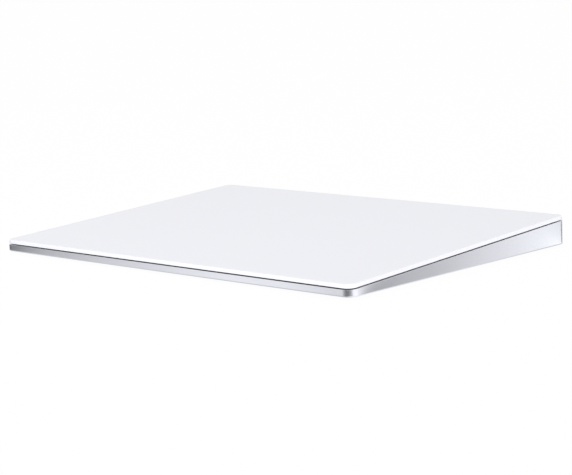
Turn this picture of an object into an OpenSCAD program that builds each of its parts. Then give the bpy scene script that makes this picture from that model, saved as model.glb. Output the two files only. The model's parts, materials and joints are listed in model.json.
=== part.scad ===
// Wireless trackpad: a wedge-shaped aluminium tray closed from edge to edge by a white glass touch plate.
// The plate stands on gel pads at the tips of four sprung beams, and an electromagnet nudges it sideways.
// Millimetres. +X is the user's right, +Y the back, +Z up, and the origin is on the table under the middle.

/* [Overall] */
// Width of the tray, left to right
width = 160; // [145:1:180]
// Depth of the tray, front to back
depth = 114.9; // [110:0.1:130]
// Height of the glass above the table at the front edge
front_height = 4.9; // [4.6:0.1:6.5]
// Height of the glass above the table at the back edge
back_height = 10.9; // [10.4:0.1:13]
// Radius of the upright corners, in plan
corner_r = 3.2; // [2.4:0.1:6]

/* [Tray] */
// Thickness of the side walls
wall = 1.5; // [1.2:0.1:2]
// Thickness of the floor
floor_t = 0.9; // [0.8:0.05:1.1]
// Radius of the edge between the walls and the underside
edge_r = 0.5; // [0.3:0.05:0.8]
// Radius of the inner corners of the milled pocket
pocket_r = 2.4; // [1.5:0.1:4]
// Gap between the table and the underside
ground_gap = 0.9; // [0.6:0.05:1.2]
// Open gap between the top of the walls and the glass
rim_gap = 0.35; // [0.25:0.05:0.5]
// Height of the ribs that fence the battery in
fence_h = 1.2; // [0.6:0.1:2]
// Thickness of the ribs that fence the battery in
fence_t = 1; // [0.6:0.1:1.4]
// Length of a rib that fences the battery in
fence_l = 14; // [6:1:20]

/* [Feet] */
// Diameter of a rubber foot
foot_d = 13; // [9:0.5:16]
// Distance from the tray's sides to the middle of a foot
foot_inset = 14; // [10:0.5:18]
// Depth of the seat that holds a foot
foot_seat = 0.35; // [0.2:0.05:0.45]
// Radius of a foot's lower edge
foot_edge_r = 0.3; // [0.1:0.05:0.5]
// Clearance round a foot in its seat
foot_clear = 0.1; // [0.05:0.05:0.3]

/* [Touch plate] */
// Thickness of the glass
glass_t = 1.3; // [1.2:0.05:1.5]
// Distance that the glass stays back from the tray's sides
glass_inset = 0.1; // [0.05:0.05:0.4]
// Radius of the glass's upper edge
glass_top_r = 0.6; // [0.2:0.05:0.6]
// Radius of the glass's lower edge
glass_low_r = 0.1; // [0.05:0.05:0.3]
// Thickness of the film that bonds the glass to the sensor board
bond_t = 0.1; // [0.05:0.05:0.2]
// Thickness of the touch sensor board
sensor_t = 0.6; // [0.4:0.05:0.8]
// Thickness of the steel stiffener
stiffener_t = 0.4; // [0.3:0.05:0.6]
// Clearance between the plate's hidden layers and the pocket's walls
plate_clear = 0.9; // [0.6:0.1:2]
// Width of a stiffener rib between two windows
stiffener_rib = 7; // [4:0.5:10]
// Width of the stiffener's solid spine
spine_w = 40; // [36:1:46]
// Number of windows in each column of the stiffener
window_rows = 3; // [2:1:4]
// Radius of the windows' corners
window_r = 2; // [0.5:0.25:4]
// Clearance between a window and the clamp below it
window_clear = 1; // [0.5:0.1:2]

/* [Force beams] */
// Distance from the pocket's front and back to the middle of a beam
beam_inset = 24; // [22:0.5:27]
// Distance from the pocket's side to a beam's tip
beam_tip_gap = 3; // [1.5:0.5:5]
// Thickness of a beam
beam_t = 0.5; // [0.35:0.05:0.6]
// Length of the clamped end of a beam
beam_base_l = 10; // [8:0.5:12]
// Width of the clamped end of a beam
beam_base_w = 12; // [10:0.5:14]
// Length of the sprung tongue, from the clamped end to the middle of the pad
tongue_l = 12; // [10:0.5:15]
// Width of the sprung tongue
tongue_w = 7; // [6:0.5:9]
// Width of the waist that carries the strain gauge
waist_w = 5; // [4:0.25:6]
// Radius of the notches that form the waist
waist_r = 3; // [2:0.25:4]
// Diameter of a gel pad
pad_d = 6; // [4:0.5:6.5]
// Thickness of a gel pad
pad_t = 0.7; // [0.5:0.05:0.8]
// Thickness of a strain gauge
gauge_t = 0.1; // [0.05:0.05:0.2]
// Length of a strain gauge
gauge_l = 3; // [2:0.25:4]
// Width of a strain gauge
gauge_w = 2.5; // [1.5:0.25:3.5]
// Distance from the clamped end to a strain gauge
gauge_setback = 3; // [1.5:0.25:4]
// Distance between the two screws of a beam
beam_screw_pitch = 7; // [5:0.5:8]

/* [Screws] */
// Diameter of a screw's shank
screw_d = 1.6; // [1.2:0.1:1.8]
// Diameter of a screw's head
screw_head_d = 3; // [2.4:0.1:3.4]
// Height of a screw's head
screw_head_h = 0.5; // [0.3:0.05:0.6]
// Length of thread in the tray
screw_grip = 1; // [0.8:0.05:1.1]
// Clearance round a screw's shank
screw_clear = 0.08; // [0.05:0.01:0.15]
// Width of the hexagonal recess in a screw's head
screw_key = 1.3; // [0.9:0.1:1.6]
// Depth of the recess in a screw's head
screw_key_h = 0.25; // [0.1:0.05:0.28]

/* [Haptic drive] */
// Length of the magnet core, front to back
core_d = 22; // [20:0.5:24]
// Height of the magnet core
core_h = 1.6; // [1.3:0.1:1.8]
// Thickness of the bar that joins the core's legs
core_bar = 5; // [4:0.25:7]
// Length of a core leg
leg_l = 12; // [9:0.5:16]
// Width of a core leg
leg_w = 4; // [3:0.25:4.5]
// Length of a core leg left bare at each end of its coil
leg_bare = 1.2; // [0.8:0.1:2]
// Clearance between the rib under the legs and the coils
rest_clear = 0.2; // [0.1:0.05:0.3]
// Thickness of a coil's winding
coil_t = 0.9; // [0.5:0.05:1]
// Thickness of a coil's winding above and below its leg
coil_flat_t = 0.35; // [0.2:0.05:0.4]
// Clearance between a coil and its leg
coil_clear = 0.05; // [0.03:0.01:0.1]
// Height of the core above the floor
core_lift = 0.6; // [0.5:0.05:0.7]
// Length of a mounting ear on the core
ear_l = 6; // [5:0.25:8]
// Width of a mounting ear on the core
ear_w = 5; // [4.5:0.25:7]
// Air gap between the core and the armature
air_gap = 0.4; // [0.3:0.05:0.8]
// Thickness of the armature
armature_t = 2.5; // [1.5:0.1:4]
// Width of the flange that fixes the armature to the stiffener
armature_flange_w = 9; // [6:0.5:12]
// Thickness of the armature's flange
armature_flange_t = 0.6; // [0.4:0.05:0.8]
// Clearance under the armature
armature_clear = 0.6; // [0.4:0.05:1]

/* [Battery] */
// Depth of the battery pack, front to back
battery_d = 25; // [20:0.5:26]
// Thickness of the battery pack
battery_t = 3.7; // [3:0.1:3.9]
// Radius of the battery pack's long edges
battery_edge_r = 0.8; // [0.3:0.1:1.2]
// Radius of the battery pack's corners, in plan
battery_r = 2; // [1.3:0.1:4]
// Gap between the battery pack and the beams beside it
battery_side_gap = 0.9; // [0.5:0.1:3]
// Thickness of the adhesive under the battery
battery_glue_t = 0.15; // [0.05:0.05:0.25]
// Margin of the battery pack that has no adhesive
glue_inset = 2; // [1:0.5:6]
// Gap between neighbouring parts on the floor
part_gap = 1.6; // [1.4:0.1:2]

/* [Logic board] */
// Width of the logic board, left to right
board_w = 100; // [95:1:104]
// Depth of the logic board, front to back
board_d = 13; // [12:0.5:14]
// Thickness of the logic board
board_t = 0.8; // [0.6:0.05:1]
// Height of the posts under the logic board
post_h = 0.9; // [0.7:0.05:1.1]
// Diameter of the posts under the logic board
post_d = 4.4; // [3.6:0.1:5]
// Gap between the logic board and the back wall
board_gap = 1.1; // [1:0.05:1.5]
// Distance from the board's ends to its outer screws
board_screw_inset = 4; // [3:0.5:6]
// Gap between neighbouring parts on the board
board_clear = 0.4; // [0.3:0.05:0.6]
// Distance from the board's back edge to the middle of the chips
chip_setback = 4.2; // [3.8:0.1:4.4]
// Gap between the radio module and its shield
shield_gap = 0.3; // [0.2:0.05:0.5]
// Thickness of the radio shield
shield_t = 0.2; // [0.15:0.05:0.3]
// Height of a board connector
connector_h = 1; // [0.8:0.05:1.2]
// Depth of a board connector
connector_d = 3; // [2.5:0.1:3.2]
// Distance from the board's front edge to its connectors
connector_setback = 1.5; // [1:0.1:1.7]
// Width of a connector beyond each side of its ribbon
connector_rim = 0.8; // [0.4:0.1:1]

/* [Ribbons and antenna] */
// Thickness of a ribbon
ribbon_t = 0.15; // [0.1:0.05:0.2]
// Radius of the tight bends, at the middle of the ribbon
ribbon_bend = 0.6; // [0.4:0.05:0.7]
// Gap between the haptic drive's ribbon and the battery below it
ribbon_gap = 0.1; // [0.05:0.05:0.3]
// Margin of a ribbon inside the piece that it leaves or passes through
ribbon_margin = 1; // [0.5:0.1:1.5]
// Width of the touch sensor's ribbon
touch_w = 12; // [8:0.5:14]
// Radius of the bends in the touch sensor's ribbon
touch_bend = 1.5; // [0.8:0.1:1.6]
// Distance that the touch sensor's ribbon runs forward before it turns up
touch_loop = 1.7; // [1.6:0.1:2.2]
// Width of the battery's ribbon
battery_lead_w = 5; // [4:0.5:5.5]
// Depth of the antenna's carrier
antenna_d = 7; // [5:0.5:10]
// Distance from the pocket's side to the antenna's carrier
antenna_inset = 2; // [1.5:0.25:6]
// Margin of the carrier left bare round the foil
antenna_rim = 0.6; // [0.3:0.1:1.2]
// Thickness of the antenna's foil
foil_t = 0.1; // [0.05:0.05:0.2]
// Width of the foil's tab
foil_tab_w = 3; // [1.5:0.25:4]
// Length of the foil's tab on the board
foil_tab_l = 2; // [1:0.25:2.2]

/* [Charging socket] */
// Width of the socket's shell
socket_w = 8.94; // [8:0.02:10]
// Height of the socket's shell
socket_h = 3.26; // [2.8:0.02:3.6]
// Length of the socket's shell
socket_l = 7.3; // [6:0.1:9]
// Thickness of the socket's shell
socket_wall = 0.3; // [0.2:0.02:0.4]
// Depth of the socket's mouth below the back face
socket_recess = 0.4; // [0.1:0.05:0.6]
// Gap round the socket in the back wall
socket_gap = 0.15; // [0.1:0.05:0.3]
// Width of the contact tongue
tongue_board_w = 6.69; // [5:0.01:7]
// Thickness of the contact tongue
tongue_board_t = 0.7; // [0.5:0.05:0.9]
// Distance from the socket's mouth to the tongue
tongue_setback = 0.9; // [0.5:0.1:1.5]
// Length of the block that carries the tongue
tongue_block_l = 1.6; // [1:0.1:1.7]
// Clearance round the block in the shell
tongue_gap = 0.05; // [0.03:0.01:0.1]
// Number of contacts on each side of the tongue
contact_count = 12; // [4:1:12]
// Width of a contact
contact_w = 0.25; // [0.15:0.05:0.3]
// Length of a contact
contact_l = 3; // [2:0.1:3.1]
// Thickness of a contact
contact_t = 0.05; // [0.03:0.01:0.1]
// Distance from the tongue's tip to a contact
contact_setback = 0.3; // [0.1:0.05:0.35]
// Distance from the tongue's side to the first contact
contact_margin = 0.595; // [0.3:0.005:1]
// Length of the ears that fix the shell to the board
socket_ear = 1; // [0.6:0.1:1.2]

/* [Power switch] */
// Distance of the switch from the middle of the tray
switch_x = 38; // [30:0.5:42]
// Width of the slider's thumb piece
thumb_w = 4.6; // [3.5:0.1:6]
// Height of the slider's thumb piece
thumb_h = 2.2; // [1.6:0.1:2.6]
// Travel of the slider
switch_travel = 2.2; // [1.5:0.1:3]
// Clearance round the thumb piece
thumb_clear = 0.2; // [0.1:0.05:0.3]
// Depth of the thumb piece below the back face
thumb_recess = 0.15; // [0.05:0.05:0.5]
// Thickness of the slider's flange
flange_t = 0.5; // [0.35:0.05:0.6]
// Overlap of the slider's flange behind the wall
flange_lap = 0.5; // [0.3:0.05:0.6]
// Clearance between the flange and the wall
flange_clear = 0.1; // [0.05:0.01:0.15]
// Thickness of the green mark
mark_t = 0.2; // [0.1:0.05:0.3]
// Clearance between the green mark and the thumb piece
mark_gap = 0.05; // [0.03:0.01:0.15]
// Width of the switch's body
switch_body_w = 8; // [7:0.25:10]
// Depth of the switch's body
switch_body_d = 3.2; // [2.4:0.1:4]
// Height of the switch's body
switch_body_h = 3.2; // [2.8:0.1:3.6]
// Width of the switch's lever
lever_w = 1.2; // [0.8:0.05:1.4]
// Depth of the lever in the switch's body
lever_in = 1; // [0.6:0.1:1.5]
// Clearance round the lever
lever_gap = 0.1; // [0.05:0.01:0.15]

/* [Hidden] */
$fn = 96;

// Chips on the logic board: distance from the middle, width, depth, height
main_chip = [-14.5, 7, 7, 0.9];
touch_chip = [-24.5, 6, 6, 0.8];
radio_chip = [-36, 8, 6, 1.1];
charge_chip = [13, 4, 4, 0.8];
haptic_chip = [21, 5, 5, 0.8];

// Slope of the glass
tilt = atan((back_height - front_height) / depth);
mid_height = (front_height + back_height) / 2;
deck_d = depth / cos(tilt);
glass_w = width - 2 * glass_inset;
glass_d = 2 * hundredths(deck_d / 2 - glass_inset);

// Levels below the surface of the glass, measured square to it
rim_level = glass_t + rim_gap;
sensor_level = glass_t + bond_t;
stiffener_level = sensor_level + sensor_t;
pad_level = stiffener_level + stiffener_t;
beam_level = pad_level + pad_t;
boss_level = beam_level + beam_t;

// Pocket of the tray
floor_z = ground_gap + floor_t;
inner_w = width - 2 * wall;
inner_d = depth - 2 * wall;
back_y = inner_d / 2;
reach = 2 * (width + depth);
overcut = 1;
bend_steps = 8;

// Hidden layers of the touch plate
layer_w = inner_w - 2 * plate_clear;
layer_d = (inner_d - 2 * plate_clear) / cos(tilt);
layer_r = max(0.5, pocket_r - plate_clear);

// Force beams: clamped end, end of the clamped part, middle of the tip
beam_x2 = inner_w / 2 - beam_tip_gap - tongue_w / 2;
beam_x1 = beam_x2 - tongue_l;
beam_x0 = beam_x1 - beam_base_l;
beam_v = (inner_d / 2 - beam_inset) / cos(tilt);
gauge_x = beam_x1 + gauge_setback + gauge_l / 2;
corners = [[-1, -1], [1, -1], [-1, 1], [1, 1]];

// Windows of the stiffener: two columns beside the spine, in rows, and one over each beam's clamp
window_x0 = spine_w / 2;
window_x1 = beam_x0 - window_clear - stiffener_rib;
window_v1 = layer_d / 2 - stiffener_rib;
window_d = (2 * window_v1 - (window_rows - 1) * stiffener_rib) / window_rows;

// Parts on the floor, from the back wall forward
board_y1 = back_y - board_gap;
board_y0 = board_y1 - board_d;
board_z = floor_z + post_h;
board_top = board_z + board_t;
connector_y = board_y0 + connector_setback + connector_d / 2;
ribbon_z = board_top + connector_h / 2;
chip_y = board_y1 - chip_setback;
screw_y = connector_y + connector_d / 2 + screw_head_d / 2 + board_clear;
board_screw_x1 = socket_w / 2 + socket_ear + screw_head_d;
board_screw_x2 = board_w / 2 - board_screw_inset;
battery_w = 2 * (beam_x0 - battery_side_gap);
battery_y1 = board_y0 - part_gap;
battery_y0 = battery_y1 - battery_d;
battery_z = floor_z + battery_glue_t;
coil_out = coil_clear + coil_t;
core_y = battery_y0 - part_gap - coil_out - core_d / 2;
core_x0 = -(core_bar + leg_l + air_gap + armature_t) / 2;
core_x1 = core_x0 + core_bar;
core_x2 = core_x1 + leg_l;
core_z = floor_z + core_lift;
leg_pitch = (core_d - leg_w) / 2;
ear_y = core_d / 2 - ear_w / 2;
armature_x = core_x2 + air_gap;

// Ribbons
touch_x = -(window_x0 + window_x1) / 2;
coil_lead_x = core_x0 + core_bar / 2;
coil_lead_w = core_bar - ribbon_margin;
battery_lead_x = socket_w / 2 + battery_lead_w;

// Socket and switch, which share the back edge of the board
socket_z = board_top + socket_h / 2;
socket_y1 = depth / 2 - socket_recess;
socket_y0 = socket_y1 - socket_l;
contact_y1 = socket_y1 - tongue_setback - contact_setback;
switch_z = board_top + switch_body_h / 2;
thumb_x = switch_x - switch_travel / 2;
flange_y1 = back_y - flange_clear;
flange_y0 = flange_y1 - flange_t;
flange_w = thumb_w + 2 * (switch_travel + thumb_clear + flange_lap);
flange_h = thumb_h + 2 * (thumb_clear + flange_lap);
switch_y1 = board_y1 - board_clear;

// Length to the nearest hundredth of a millimetre, as a drawing gives it
function hundredths(x) = round(100 * x) / 100;

// Height of a level below the glass, at a distance y from the middle
function deck_z(y, level) = mid_height + y * tan(tilt) - level / cos(tilt);

// Signed angle from one direction to the next
function turn(a, b) = atan2(a[0] * b[1] - a[1] * b[0], a * b);

// Direction turned by an angle
function turned(a, angle) = [a[0] * cos(angle) - a[1] * sin(angle), a[0] * sin(angle) + a[1] * cos(angle)];

// Direction across a run, to its left
function across(run) = [-run[1], run[0]] / norm(run);

// Points along a path with round bends, each with the direction across the path
function bent_path(path, bend) = concat(
  [[path[0], across(path[1] - path[0])]],
  [for (i = [1 : len(path) - 2], k = [0 : bend_steps])
    let (
      run = (path[i] - path[i - 1]) / norm(path[i] - path[i - 1]),
      angle = turn(run, path[i + 1] - path[i]),
      inward = sign(angle) * across(run),
      centre = path[i] - bend * tan(abs(angle) / 2) * run + bend * inward
    )
    [centre - bend * turned(inward, angle * k / bend_steps), turned(across(run), angle * k / bend_steps)]],
  [[path[len(path) - 1], across(path[len(path) - 1] - path[len(path) - 2])]]
);

// Frame of the sloping glass: its surface is the plane of zero height
module on_deck() {
  translate([0, 0, mid_height]) rotate([tilt, 0, 0]) children();
}

// All space above a level of the sloping frame
module above_deck(level) {
  on_deck() translate([-reach / 2, -reach / 2, -level]) cube([reach, reach, reach]);
}

// All space below a height
module below(z) {
  translate([-reach / 2, -reach / 2, z - reach]) cube([reach, reach, reach]);
}

module rounded_rect(w, d, r) {
  square([w, d - 2 * r], center = true);
  square([w - 2 * r, d], center = true);
  for (c = corners) translate([c[0] * (w / 2 - r), c[1] * (d / 2 - r)]) circle(r);
}

module oblong(w, h) {
  square([w - h, h], center = true);
  for (s = [-1, 1]) translate([s * (w - h) / 2, 0]) circle(d = h);
}

// Profile that lies in X and Z, drawn out from y0 to y1
module along_y(y0, y1) {
  translate([0, y1, 0]) rotate([90, 0, 0]) linear_extrude(y1 - y0) children();
}

// Cross-section of a plate with round lower and upper edges
module slab_profile(w, h, low_r, top_r) {
  translate([-w / 2, low_r]) square([w, h - low_r - top_r]);
  translate([-w / 2 + low_r, 0]) square([w - 2 * low_r, h / 2]);
  translate([-w / 2 + top_r, h / 2]) square([w - 2 * top_r, h / 2]);
  for (s = [-1, 1]) {
    if (low_r > 0) translate([s * (w / 2 - low_r), low_r]) circle(low_r);
    if (top_r > 0) translate([s * (w / 2 - top_r), h - top_r]) circle(top_r);
  }
}

module slab_corner(r, h, low_r, top_r) {
  intersection() {
    slab_profile(2 * r, h, low_r, top_r);
    square([2 * r, h]);
  }
}

// Plate with round corners and round edges: runs along both directions, and a quarter turn at each corner
module slab(w, d, h, r, low_r, top_r) {
  rotate([90, 0, 90]) linear_extrude(w - 2 * r, center = true) slab_profile(d, h, low_r, top_r);
  for (s = [0, 1]) mirror([s, 0, 0]) {
    translate([w / 2 - r, 0, 0])
      rotate([90, 0, 0]) linear_extrude(d - 2 * r, center = true) slab_corner(r, h, low_r, top_r);
    translate([w / 2 - r, d / 2 - r, 0]) rotate_extrude(angle = 90) slab_corner(r, h, low_r, top_r);
    translate([w / 2 - r, r - d / 2, 0])
      rotate([0, 0, -90]) rotate_extrude(angle = 90) slab_corner(r, h, low_r, top_r);
  }
}

// Flat ribbon of width w along a path of [y, z] points, with round bends
module ribbon(path, bend, w) {
  line = bent_path(path, bend);
  rotate([90, 0, 90]) linear_extrude(w, center = true) polygon(concat(
    [for (p = line) p[0] + ribbon_t / 2 * p[1]],
    [for (i = [len(line) - 1 : -1 : 0]) line[i][0] - ribbon_t / 2 * line[i][1]]
  ));
}

// Screw with its head standing on the plane of zero height
module screw(l) {
  difference() {
    cylinder(d = screw_head_d, h = screw_head_h);
    translate([0, 0, screw_head_h - screw_key_h]) cylinder(d = screw_key, h = screw_key_h + overcut, $fn = 6);
  }
  translate([0, 0, -l]) cylinder(d = screw_d, h = l);
}

module screw_bore(l) {
  translate([0, 0, -l]) cylinder(d = screw_d + 2 * screw_clear, h = l + overcut);
}

module at_feet() {
  for (c = corners)
    translate([c[0] * (width / 2 - foot_inset), c[1] * (depth / 2 - foot_inset), 0]) children();
}

module at_beam(c) {
  on_deck() translate([0, c[1] * beam_v, 0]) mirror([c[0] < 0 ? 1 : 0, 0, 0]) children();
}

module at_beam_screws(level) {
  for (s = [-1, 1])
    translate([beam_x0 + beam_base_l / 2, s * beam_screw_pitch / 2, -level]) children();
}

module at_board_screws(z) {
  for (x = [board_screw_x1, board_screw_x2], s = [-1, 1]) translate([s * x, screw_y, z]) children();
}

module at_ears(z) {
  for (s = [-1, 1]) translate([core_x0 - ear_l / 2, core_y + s * ear_y, z]) children();
}

module at_legs() {
  for (i = [-1 : 1]) translate([core_x1, core_y + i * leg_pitch, core_z]) children();
}

// Chip on the logic board, c = [distance from the middle, width, depth, height]
module chip(c) {
  translate([c[0] - c[1] / 2, chip_y - c[2] / 2, board_top]) cube([c[1], c[2], c[3]]);
}

// Slider's green patch, beside the thumb piece
module mark_outline(gap) {
  difference() {
    translate([thumb_x - thumb_w / 2 - switch_travel - thumb_clear, switch_z - thumb_h / 2 - thumb_clear])
      square([switch_travel + thumb_clear + thumb_h / 2, thumb_h + 2 * thumb_clear]);
    translate([thumb_x, switch_z]) oblong(thumb_w + 2 * gap, thumb_h + 2 * gap);
  }
}

module lever_outline(gap) {
  translate([thumb_x, switch_z]) square([lever_w + 2 * gap, lever_w + 2 * gap], center = true);
}

module enclosure() {
  color("gainsboro") difference() {
    union() {
      difference() {
        translate([0, 0, ground_gap]) slab(width, depth, back_height, corner_r, edge_r, 0);
        translate([0, 0, floor_z]) linear_extrude(reach) rounded_rect(inner_w, inner_d, pocket_r);
        above_deck(rim_level);
      }
      for (c = corners) difference() {
        at_beam(c) translate([beam_x0, -beam_base_w / 2, -boss_level - back_height])
          cube([beam_base_l, beam_base_w, back_height]);
        below(floor_z - floor_t / 2);
      }
      at_board_screws(floor_z - floor_t / 2) cylinder(d = post_d, h = post_h + floor_t / 2);
      at_ears(floor_z - floor_t / 2) cylinder(d = post_d, h = core_lift + floor_t / 2);
      translate([core_x2 - leg_bare + rest_clear, core_y - core_d / 2, floor_z - floor_t / 2])
        cube([leg_bare - 2 * rest_clear, core_d, core_lift + floor_t / 2]);
      for (s = [0, 1]) mirror([s, 0, 0])
        translate([battery_w / 2 - fence_l, battery_y0 - (part_gap + fence_t) / 2, floor_z - floor_t / 2])
          cube([fence_l, fence_t, fence_h + floor_t / 2]);
    }
    at_feet() translate([0, 0, ground_gap - overcut])
      cylinder(d = foot_d + 2 * foot_clear, h = foot_seat + overcut);
    for (c = corners) at_beam(c) at_beam_screws(boss_level) screw_bore(screw_grip + screw_clear);
    at_board_screws(board_z) screw_bore(screw_grip + screw_clear);
    at_ears(core_z) screw_bore(screw_grip + screw_clear);
    along_y(back_y - overcut, depth / 2 + overcut)
      translate([0, socket_z]) oblong(socket_w + 2 * socket_gap, socket_h + 2 * socket_gap);
    along_y(back_y - overcut, depth / 2 + overcut) translate([switch_x, switch_z])
      oblong(thumb_w + switch_travel + 2 * thumb_clear, thumb_h + 2 * thumb_clear);
  }
}

module foot(c) {
  color("whitesmoke") translate([c[0] * (width / 2 - foot_inset), c[1] * (depth / 2 - foot_inset), 0])
    rotate_extrude() intersection() {
      slab_profile(foot_d, ground_gap + foot_seat, foot_edge_r, 0);
      square([foot_d, back_height]);
    }
}

module foot_front_left() { foot([-1, -1]); }
module foot_front_right() { foot([1, -1]); }
module foot_rear_left() { foot([-1, 1]); }
module foot_rear_right() { foot([1, 1]); }

module force_beam(c) {
  color("lightsteelblue") at_beam(c) translate([0, 0, -boss_level]) linear_extrude(beam_t) difference() {
    union() {
      translate([beam_x0, -beam_base_w / 2]) square([beam_base_l, beam_base_w]);
      translate([beam_x1 - beam_base_l / 2, -tongue_w / 2]) square([tongue_l + beam_base_l / 2, tongue_w]);
      translate([beam_x2, 0]) circle(d = tongue_w);
    }
    for (s = [-1, 1]) translate([gauge_x, s * (waist_w / 2 + waist_r)]) circle(waist_r);
    for (s = [-1, 1]) translate([beam_x0 + beam_base_l / 2, s * beam_screw_pitch / 2])
      circle(d = screw_d + 2 * screw_clear);
  }
}

module force_beam_front_left() { force_beam([-1, -1]); }
module force_beam_front_right() { force_beam([1, -1]); }
module force_beam_rear_left() { force_beam([-1, 1]); }
module force_beam_rear_right() { force_beam([1, 1]); }

module strain_gauges() {
  color("orange") for (c = corners) at_beam(c)
    translate([gauge_x - gauge_l / 2, -gauge_w / 2, -beam_level]) cube([gauge_l, gauge_w, gauge_t]);
}

module beam_screws() {
  color("dimgray") for (c = corners) at_beam(c) at_beam_screws(beam_level) screw(beam_t + screw_grip);
}

module actuator_core() {
  color("slategray") difference() {
    union() {
      translate([core_x0, core_y - core_d / 2, core_z]) cube([core_bar, core_d, core_h]);
      at_legs() translate([-core_bar / 2, -leg_w / 2, 0]) cube([leg_l + core_bar / 2, leg_w, core_h]);
      for (s = [-1, 1]) translate([core_x0 - ear_l, core_y + s * ear_y - ear_w / 2, core_z])
        cube([ear_l + core_bar / 2, ear_w, core_h]);
    }
    at_ears(core_z + core_h) screw_bore(core_h + overcut);
  }
}

module actuator_coils() {
  color("peru") at_legs() translate([leg_bare, 0, core_h / 2]) rotate([90, 0, 90])
    linear_extrude(leg_l - 2 * leg_bare) difference() {
      rounded_rect(leg_w + 2 * coil_out, core_h + 2 * (coil_clear + coil_flat_t), coil_flat_t);
      square([leg_w + 2 * coil_clear, core_h + 2 * coil_clear], center = true);
    }
}

module actuator_screws() {
  color("dimgray") at_ears(core_z + core_h) screw(core_h + screw_grip);
}

// Runs up from the core's end, over the battery and down to its connector
module actuator_lead() {
  up_y = core_y + core_d / 2 + (battery_y0 - core_y - core_d / 2) / 2;
  down_y = (battery_y1 + board_y0) / 2;
  over_z = battery_z + battery_t + ribbon_gap + ribbon_t / 2;
  color("darkorange") translate([coil_lead_x, 0, 0]) ribbon([
    [core_y + core_d / 2, core_z + core_h / 2],
    [up_y, core_z + core_h / 2],
    [up_y, over_z],
    [down_y, over_z],
    [down_y, ribbon_z],
    [connector_y - connector_d / 2, ribbon_z]
  ], ribbon_bend, coil_lead_w);
}

module battery_pack() {
  color("dimgray") translate([0, (battery_y0 + battery_y1) / 2, battery_z])
    slab(battery_w, battery_d, battery_t, battery_r, battery_edge_r, battery_edge_r);
}

module battery_adhesive() {
  color("white") translate([0, (battery_y0 + battery_y1) / 2, floor_z]) linear_extrude(battery_glue_t)
    square([battery_w - 2 * glue_inset, battery_d - 2 * glue_inset], center = true);
}

module battery_lead() {
  color("darkorange") translate([battery_lead_x, 0, 0]) ribbon([
    [battery_y1, ribbon_z],
    [connector_y - connector_d / 2, ribbon_z]
  ], ribbon_bend, battery_lead_w);
}

module logic_board() {
  color("darkgreen") difference() {
    translate([-board_w / 2, board_y0, board_z]) cube([board_w, board_d, board_t]);
    at_board_screws(board_top) screw_bore(board_t + overcut);
  }
}

module main_controller() {
  color("black") chip(main_chip);
}

module touch_controller() {
  color("black") chip(touch_chip);
}

module charge_controller() {
  color("black") chip(charge_chip);
}

module haptic_driver() {
  color("black") chip(haptic_chip);
}

module radio_module() {
  color("darkslategray") chip(radio_chip);
}

module radio_shield() {
  hood = radio_chip + [0, 2 * shield_gap, 2 * shield_gap, shield_gap];
  color("silver") difference() {
    chip(hood + [0, 2 * shield_t, 2 * shield_t, shield_t]);
    translate([0, 0, -overcut]) chip(hood + [0, 0, 0, overcut]);
  }
}

module board_connectors() {
  color("ivory") for (c = [[touch_x, touch_w], [coil_lead_x, coil_lead_w], [battery_lead_x, battery_lead_w]])
    translate([c[0], connector_y, board_top]) linear_extrude(connector_h)
      square([c[1] + 2 * connector_rim, connector_d], center = true);
}

module board_screws() {
  color("dimgray") at_board_screws(board_top) screw(board_t + screw_grip);
}

module charging_port_shell() {
  color("silver") difference() {
    union() {
      along_y(socket_y0, socket_y1) translate([0, socket_z]) oblong(socket_w, socket_h);
      translate([-socket_w / 2 - socket_ear, socket_y0 + socket_ear, board_top])
        cube([socket_w + 2 * socket_ear, 2 * socket_ear, socket_wall]);
    }
    along_y(socket_y0 - overcut, socket_y1 + overcut)
      translate([0, socket_z]) oblong(socket_w - 2 * socket_wall, socket_h - 2 * socket_wall);
  }
}

module charging_port_tongue() {
  color("black") {
    along_y(socket_y0, socket_y0 + tongue_block_l) translate([0, socket_z])
      oblong(socket_w - 2 * socket_wall - 2 * tongue_gap, socket_h - 2 * socket_wall - 2 * tongue_gap);
    translate([-tongue_board_w / 2, socket_y0, socket_z - tongue_board_t / 2])
      cube([tongue_board_w, socket_l - tongue_setback, tongue_board_t]);
  }
}

module charging_port_contacts() {
  pitch = (tongue_board_w - 2 * contact_margin) / (contact_count - 1);
  color("gold") for (i = [0 : contact_count - 1], s = [0, 1])
    translate([contact_margin - tongue_board_w / 2 + i * pitch, 0, socket_z]) mirror([0, 0, s])
      translate([-contact_w / 2, contact_y1 - contact_l, tongue_board_t / 2])
        cube([contact_w, contact_l, contact_t]);
}

module switch_body() {
  color("black") difference() {
    translate([switch_x - switch_body_w / 2, switch_y1 - switch_body_d, board_top])
      cube([switch_body_w, switch_body_d, switch_body_h]);
    along_y(switch_y1 - lever_in - lever_gap, switch_y1 + overcut) translate([switch_x, switch_z])
      square([lever_w + switch_travel + 2 * lever_gap, lever_w + 2 * lever_gap], center = true);
  }
}

module switch_lever() {
  color("ivory") along_y(switch_y1 - lever_in, flange_y1 - lever_gap) lever_outline(0);
}

module power_slider() {
  color("silver") difference() {
    union() {
      along_y(flange_y0, flange_y1)
        translate([thumb_x, switch_z]) rounded_rect(flange_w, flange_h, flange_lap);
      along_y(flange_y0, depth / 2 - thumb_recess)
        translate([thumb_x, switch_z]) oblong(thumb_w, thumb_h);
    }
    along_y(flange_y0 - overcut, flange_y1) lever_outline(lever_gap);
    along_y(flange_y1 - mark_t, flange_y1 + overcut) mark_outline(0);
  }
}

module on_mark() {
  color("limegreen") along_y(flange_y1 - mark_t, flange_y1) mark_outline(mark_gap);
}

module antenna_carrier() {
  x0 = -inner_w / 2 + antenna_inset;
  color("dimgray") translate([x0, board_y1 - antenna_d, floor_z])
    cube([-board_w / 2 - part_gap - x0, antenna_d, board_top - floor_z]);
}

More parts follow.
